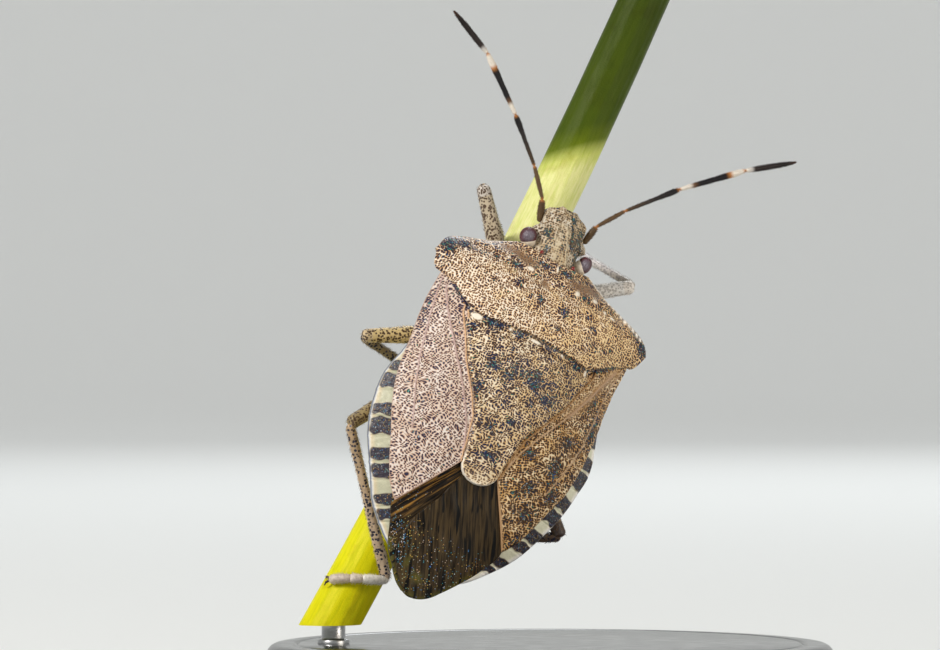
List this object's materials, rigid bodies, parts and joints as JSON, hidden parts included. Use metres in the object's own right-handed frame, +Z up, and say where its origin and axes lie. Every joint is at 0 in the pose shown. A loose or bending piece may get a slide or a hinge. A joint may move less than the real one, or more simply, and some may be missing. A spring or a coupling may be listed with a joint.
{
  "type": "shield bug",
  "caption": "Life-size model of an adult brown marmorated shield bug climbing a cut plant stem, held upright on a small round display stand.",
  "frame": {"origin": "centre of the underside of the round stand base", "axes": "+Z up along the model's height; +Y from the bug's back, which faces the viewer, towards the stem behind it; +X to the viewer's right"},
  "size_m": [0.02, 0.02, 0.0258],
  "materials": {
    "cuticle_pale": "pale tan cuticle with dense dark punctures, satin",
    "cuticle_brown": "yellow-brown cuticle with dark punctures, satin",
    "cuticle_banded": "black and ivory banded rim, satin",
    "underside": "pale ochre cuticle with fine dark points, satin",
    "wing_membrane": "thin smoky membrane with dark veins, glossy",
    "eye": "dark red-brown facets, glossy",
    "leg": "pale tan with brown spots, satin",
    "antenna": "dark brown with pale bands, satin",
    "beak": "tan with a dark tip, satin",
    "plant_stem": "fresh yellow-green skin, waxy",
    "stand_enamel": "black enamel, satin",
    "stand_steel": "brushed"
  },
  "bodies": {
    "root": {"abdomen": "underside", "antenna_left_1": "antenna", "antenna_left_2": "antenna", "antenna_left_3": "antenna", "antenna_left_4": "antenna", "antenna_left_5": "antenna", "antenna_right_1": "antenna", "antenna_right_2": "antenna", "antenna_right_3": "antenna", "antenna_right_4": "antenna", "antenna_right_5": "antenna", "beak": "beak", "connexivum_left": "cuticle_banded", "connexivum_right": "cuticle_banded", "corium_left": "cuticle_pale", "corium_right": "cuticle_brown", "eye_left": "eye", "eye_right": "eye", "head": "cuticle_brown", "leg_front_left_coxa": "leg", "leg_front_left_femur": "leg", "leg_front_left_tarsus": "leg", "leg_front_left_tibia": "leg", "leg_front_right_coxa": "leg", "leg_front_right_femur": "leg", "leg_front_right_tarsus": "leg", "leg_front_right_tibia": "leg", "leg_hind_left_coxa": "leg", "leg_hind_left_femur": "leg", "leg_hind_left_tarsus": "leg", "leg_hind_left_tibia": "leg", "leg_hind_right_coxa": "leg", "leg_hind_right_femur": "leg", "leg_hind_right_tarsus": "leg", "leg_hind_right_tibia": "leg", "leg_middle_left_coxa": "leg", "leg_middle_left_femur": "leg", "leg_middle_left_tarsus": "leg", "leg_middle_left_tibia": "leg", "leg_middle_right_coxa": "leg", "leg_middle_right_femur": "leg", "leg_middle_right_tarsus": "leg", "leg_middle_right_tibia": "leg", "membrane_left": "wing_membrane", "membrane_right": "wing_membrane", "perch_stem": "plant_stem", "pronotum": "cuticle_brown", "scutellum": "cuticle_brown", "stand_base": "stand_enamel", "stand_rod": "stand_steel", "thorax": "underside"}
  },
  "joints": []
}
